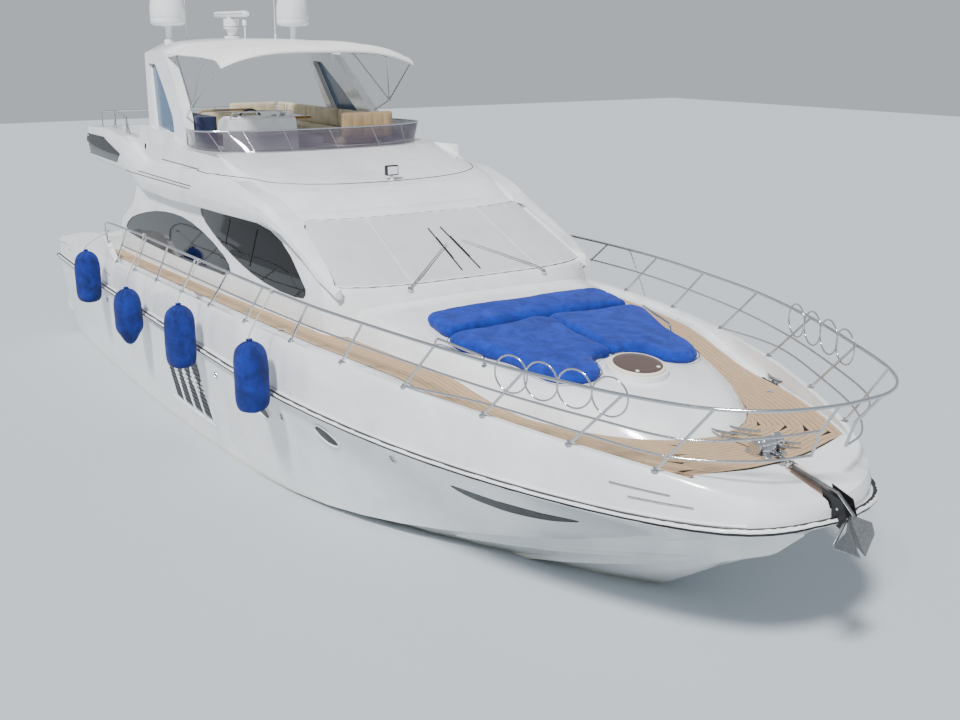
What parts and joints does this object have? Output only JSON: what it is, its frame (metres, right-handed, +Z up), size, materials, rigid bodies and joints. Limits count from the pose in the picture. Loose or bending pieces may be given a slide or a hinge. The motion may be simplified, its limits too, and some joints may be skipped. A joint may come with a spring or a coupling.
{
  "type": "motor yacht",
  "caption": "Flybridge motor yacht with a planing hull, deckhouse, open upper helm, radar arch with canopy, foredeck sunbathing pads, guard rails and twin shaft drive.",
  "frame": {"origin": "centreline at the waterline, halfway along the boat", "axes": "+X towards the bow, +Y to port, +Z up"},
  "size_m": [16.7213, 5.7602, 6.8883],
  "materials": {
    "gelcoat_white": "glossy",
    "strake_black": "satin",
    "teak": "matte",
    "varnished_wood": "glossy",
    "blue_cloth": "matte",
    "navy_cloth": "matte",
    "grey_mesh": "matte",
    "white_canvas": "matte",
    "beige_upholstery": "satin",
    "black_grip": "satin",
    "stainless": "polished",
    "galvanised": "satin",
    "dark_glass": "glossy",
    "smoked_acrylic": "glossy",
    "bronze": "satin",
    "engine_paint": "painted"
  },
  "bodies": {
    "boat": {"hull": "gelcoat_white", "rub_rail": "strake_black", "deck": "gelcoat_white", "teak_deck": "teak", "swim_platform": "gelcoat_white", "deckhouse": "gelcoat_white", "flybridge": "gelcoat_white", "coachroof": "gelcoat_white", "sunpad_port": "blue_cloth", "sunpad_starboard": "blue_cloth", "sunpad_headrest": "blue_cloth", "guard_rail_port": "stainless", "guard_rail_starboard": "stainless", "pulpit": "stainless", "windscreen_glass": "dark_glass", "windscreen_cover": "grey_mesh", "window_front_port": "dark_glass", "window_front_starboard": "dark_glass", "window_aft_port": "dark_glass", "window_aft_starboard": "dark_glass", "aft_bulkhead": "gelcoat_white", "radar_arch": "gelcoat_white", "canopy": "white_canvas", "canopy_frame": "stainless", "dome_port": "gelcoat_white", "dome_starboard": "gelcoat_white", "fly_screen": "smoked_acrylic", "fly_console": "gelcoat_white", "fly_seat": "beige_upholstery", "fly_sofa": "beige_upholstery", "fly_table": "varnished_wood", "fly_locker": "navy_cloth", "fly_stairs": "gelcoat_white", "cockpit_sofa": "beige_upholstery", "cockpit_table": "varnished_wood", "fender_1": "blue_cloth", "fender_2": "blue_cloth", "fender_3": "blue_cloth", "fender_4": "blue_cloth", "fender_5": "blue_cloth", "anchor": "galvanised", "windlass": "stainless", "shaft_port": "stainless", "shaft_starboard": "stainless", "engine_port": "engine_paint", "engine_starboard": "engine_paint"},
    "hatch": {"hatch_lid": "dark_glass"},
    "door": {"saloon_door": "dark_glass"},
    "gate": {"transom_gate": "gelcoat_white"},
    "helm": {"fly_wheel": "black_grip"},
    "scanner": {"radar_scanner": "gelcoat_white"},
    "prop_port": {"propeller_port": "bronze"},
    "prop_starboard": {"propeller_starboard": "bronze"},
    "steer_port": {"rudder_port": "bronze"},
    "steer_starboard": {"rudder_starboard": "bronze"}
  },
  "joints": [
    {"name": "hatch_hinge", "type": "hinge", "parent": "boat", "child": "hatch", "pos_m": [5.3683, 0, 2.1427], "axis": [0, -1, 0], "range_deg": [0, 80]},
    {"name": "door_slide", "type": "slide", "parent": "boat", "child": "door", "axis": [0, 1, 0], "range_m": [0, 0.9]},
    {"name": "gate_hinge", "type": "hinge", "parent": "boat", "child": "gate", "pos_m": [-6.806, 1.243, 1.5], "axis": [0, 0, -1], "range_deg": [0, 90]},
    {"name": "helm_turn", "type": "hinge", "parent": "boat", "child": "helm", "pos_m": [-2.1479, -0.65, 3.921], "axis": [0.9487, 0, -0.3161], "range_deg": [-540, 540]},
    {"name": "scanner_spin", "type": "hinge", "parent": "boat", "child": "scanner", "pos_m": [-4.3, 0, 5.36], "axis": [0, 0, 1], "continuous": true},
    {"name": "propeller_port_spin", "type": "hinge", "parent": "boat", "child": "prop_port", "pos_m": [-5.932, 0.82, -0.79], "axis": [0.9934, 0, 0.1149], "continuous": true},
    {"name": "propeller_starboard_spin", "type": "hinge", "parent": "boat", "child": "prop_starboard", "pos_m": [-5.932, -0.82, -0.79], "axis": [0.9934, 0, 0.1149], "continuous": true},
    {"name": "rudder_port_turn", "type": "hinge", "parent": "boat", "child": "steer_port", "pos_m": [-6.48, 0.86, -0.7], "axis": [0, 0, 1], "range_deg": [-35, 35]},
    {"name": "rudder_starboard_turn", "type": "hinge", "parent": "boat", "child": "steer_starboard", "pos_m": [-6.48, -0.86, -0.7], "axis": [0, 0, 1], "range_deg": [-35, 35]}
  ],
  "couplings": [
    {"joint": "rudder_starboard_turn", "follows": "rudder_port_turn", "ratio": 1}
  ]
}
